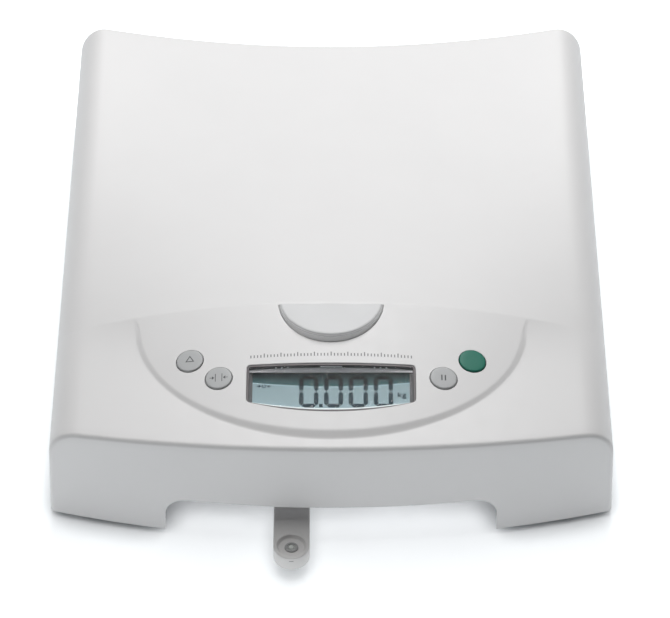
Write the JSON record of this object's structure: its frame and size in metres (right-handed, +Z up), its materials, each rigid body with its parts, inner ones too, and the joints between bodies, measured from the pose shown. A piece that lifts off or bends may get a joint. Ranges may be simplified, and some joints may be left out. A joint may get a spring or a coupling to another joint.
{
  "type": "baby weighing scale",
  "caption": "Flat digital baby weighing scale base with a curved top, lens-shaped key panel, tray release button, swing-out spirit level and levelling feet.",
  "frame": {"origin": "middle of the bounding box on the floor under the feet", "axes": "+Z up, -Y towards the front wall and its control panel, +X to the right of someone facing the front"},
  "size_m": [0.2884, 0.3625, 0.0813],
  "materials": {
    "cover_grey": "fine satin moulded",
    "base_grey": "satin moulded",
    "steel_plate": "zinc plated",
    "screw_steel": "plated",
    "cell_aluminium": "milled and anodised",
    "foot_rubber": "matt",
    "foot_plastic": "satin",
    "bezel_taupe": "satin",
    "lens_clear": "clear",
    "lcd": "satin",
    "dark_plastic": "satin",
    "circuit_board": "solder mask",
    "key_grey": "satin",
    "key_green": "satin",
    "silicone": "matt",
    "spring_steel": "bright",
    "arm_grey": "satin",
    "vial": "clear",
    "cell_jacket": "gloss",
    "contact_nickel": "plated",
    "lead_jacket": "satin",
    "ribbon_white": "satin"
  },
  "bodies": {
    "scale_base": {"base_cover": "base_grey", "battery_box": "dark_plastic", "battery_cells": "cell_jacket", "battery_contacts": "contact_nickel", "battery_door_pin": "screw_steel", "battery_leads": "lead_jacket", "board_parts": "dark_plastic", "chassis_plate": "steel_plate", "chassis_screws": "screw_steel", "cover_screws": "screw_steel", "display_bezel": "bezel_taupe", "display_board": "circuit_board", "display_ribbon": "ribbon_white", "display_screws": "screw_steel", "display_window": "lens_clear", "hold_key_dome": "silicone", "lcd_glass": "lcd", "lcd_holder": "dark_plastic", "level_pivot_screw": "screw_steel", "load_cell_front_left": "cell_aluminium", "load_cell_front_right": "cell_aluminium", "load_cell_leads": "lead_jacket", "load_cell_rear_left": "cell_aluminium", "load_cell_rear_right": "cell_aluminium", "load_cell_screws": "screw_steel", "load_cell_spacers": "cell_aluminium", "main_board": "circuit_board", "main_board_screws": "screw_steel", "memory_key_dome": "silicone", "power_key_dome": "silicone", "range_key_dome": "silicone", "release_guide": "dark_plastic", "release_guide_screws": "screw_steel", "release_spring_left": "spring_steel", "release_spring_right": "spring_steel", "top_cover": "cover_grey"},
    "memory_key_cap": {"memory_key": "key_grey"},
    "range_key_cap": {"range_key": "key_grey"},
    "hold_key_cap": {"hold_key": "key_grey"},
    "power_key_cap": {"power_key": "key_green"},
    "release_slide": {"release_button": "cover_grey"},
    "level_swivel": {"level_arm": "arm_grey", "level_vial": "vial"},
    "battery_flap": {"battery_door": "base_grey"},
    "foot_front_left_pad": {"foot_pad_front_left": "foot_rubber"},
    "foot_front_left_screw": {"foot_screw_front_left": "foot_plastic"},
    "foot_front_right_pad": {"foot_pad_front_right": "foot_rubber"},
    "foot_front_right_screw": {"foot_screw_front_right": "foot_plastic"},
    "foot_rear_left_pad": {"foot_pad_rear_left": "foot_rubber"},
    "foot_rear_left_screw": {"foot_screw_rear_left": "foot_plastic"},
    "foot_rear_right_pad": {"foot_pad_rear_right": "foot_rubber"},
    "foot_rear_right_screw": {"foot_screw_rear_right": "foot_plastic"}
  },
  "joints": [
    {"name": "memory_key_press", "type": "slide", "parent": "scale_base", "child": "memory_key_cap", "axis": [0, 0.158, -0.9874], "range_m": [0, 0.0012], "stiffness_N_per_m": 600, "springref_m": -0.0005, "deforming": ["memory_key_dome"]},
    {"name": "range_key_press", "type": "slide", "parent": "scale_base", "child": "range_key_cap", "axis": [0, 0.158, -0.9874], "range_m": [0, 0.0012], "stiffness_N_per_m": 600, "springref_m": -0.0005, "deforming": ["range_key_dome"]},
    {"name": "hold_key_press", "type": "slide", "parent": "scale_base", "child": "hold_key_cap", "axis": [0, 0.158, -0.9874], "range_m": [0, 0.0012], "stiffness_N_per_m": 600, "springref_m": -0.0005, "deforming": ["hold_key_dome"]},
    {"name": "power_key_press", "type": "slide", "parent": "scale_base", "child": "power_key_cap", "axis": [0, 0.158, -0.9874], "range_m": [0, 0.0012], "stiffness_N_per_m": 600, "springref_m": -0.0005, "deforming": ["power_key_dome"]},
    {"name": "release_press", "type": "slide", "parent": "scale_base", "child": "release_slide", "axis": [0, 0, -1], "range_m": [0, 0.004], "stiffness_N_per_m": 1500, "springref_m": -0.001, "deforming": ["release_spring_left", "release_spring_right"]},
    {"name": "level_arm_swivel", "type": "hinge", "parent": "scale_base", "child": "level_swivel", "pos_m": [-0.02, -0.11575, 0.014], "axis": [0, 0, 1], "range_deg": [0, 90]},
    {"name": "battery_door_hinge", "type": "hinge", "parent": "scale_base", "child": "battery_flap", "pos_m": [0, 0.05475, 0.0103], "axis": [1, 0, 0], "range_deg": [0, 90]},
    {"name": "foot_front_left_travel", "type": "slide", "parent": "scale_base", "child": "foot_front_left_pad", "axis": [0, 0, -1], "range_m": [-0.00125, 0.005]},
    {"name": "foot_front_left_turn", "type": "hinge", "parent": "foot_front_left_pad", "child": "foot_front_left_screw", "pos_m": [-0.118, -0.12572, 0], "axis": [0, 0, -1], "range_deg": [-360, 1440]},
    {"name": "foot_front_right_travel", "type": "slide", "parent": "scale_base", "child": "foot_front_right_pad", "axis": [0, 0, -1], "range_m": [-0.00125, 0.005]},
    {"name": "foot_front_right_turn", "type": "hinge", "parent": "foot_front_right_pad", "child": "foot_front_right_screw", "pos_m": [0.118, -0.12572, 0], "axis": [0, 0, -1], "range_deg": [-360, 1440]},
    {"name": "foot_rear_left_travel", "type": "slide", "parent": "scale_base", "child": "foot_rear_left_pad", "axis": [0, 0, -1], "range_m": [-0.00125, 0.005]},
    {"name": "foot_rear_left_turn", "type": "hinge", "parent": "foot_rear_left_pad", "child": "foot_rear_left_screw", "pos_m": [-0.118, 0.15125, 0], "axis": [0, 0, -1], "range_deg": [-360, 1440]},
    {"name": "foot_rear_right_travel", "type": "slide", "parent": "scale_base", "child": "foot_rear_right_pad", "axis": [0, 0, -1], "range_m": [-0.00125, 0.005]},
    {"name": "foot_rear_right_turn", "type": "hinge", "parent": "foot_rear_right_pad", "child": "foot_rear_right_screw", "pos_m": [0.118, 0.15125, 0], "axis": [0, 0, -1], "range_deg": [-360, 1440]}
  ],
  "couplings": [
    {"joint": "foot_front_left_travel", "follows": "foot_front_left_turn", "m_per_rad": 0.00019894},
    {"joint": "foot_front_right_travel", "follows": "foot_front_right_turn", "m_per_rad": 0.00019894},
    {"joint": "foot_rear_left_travel", "follows": "foot_rear_left_turn", "m_per_rad": 0.00019894},
    {"joint": "foot_rear_right_travel", "follows": "foot_rear_right_turn", "m_per_rad": 0.00019894}
  ]
}
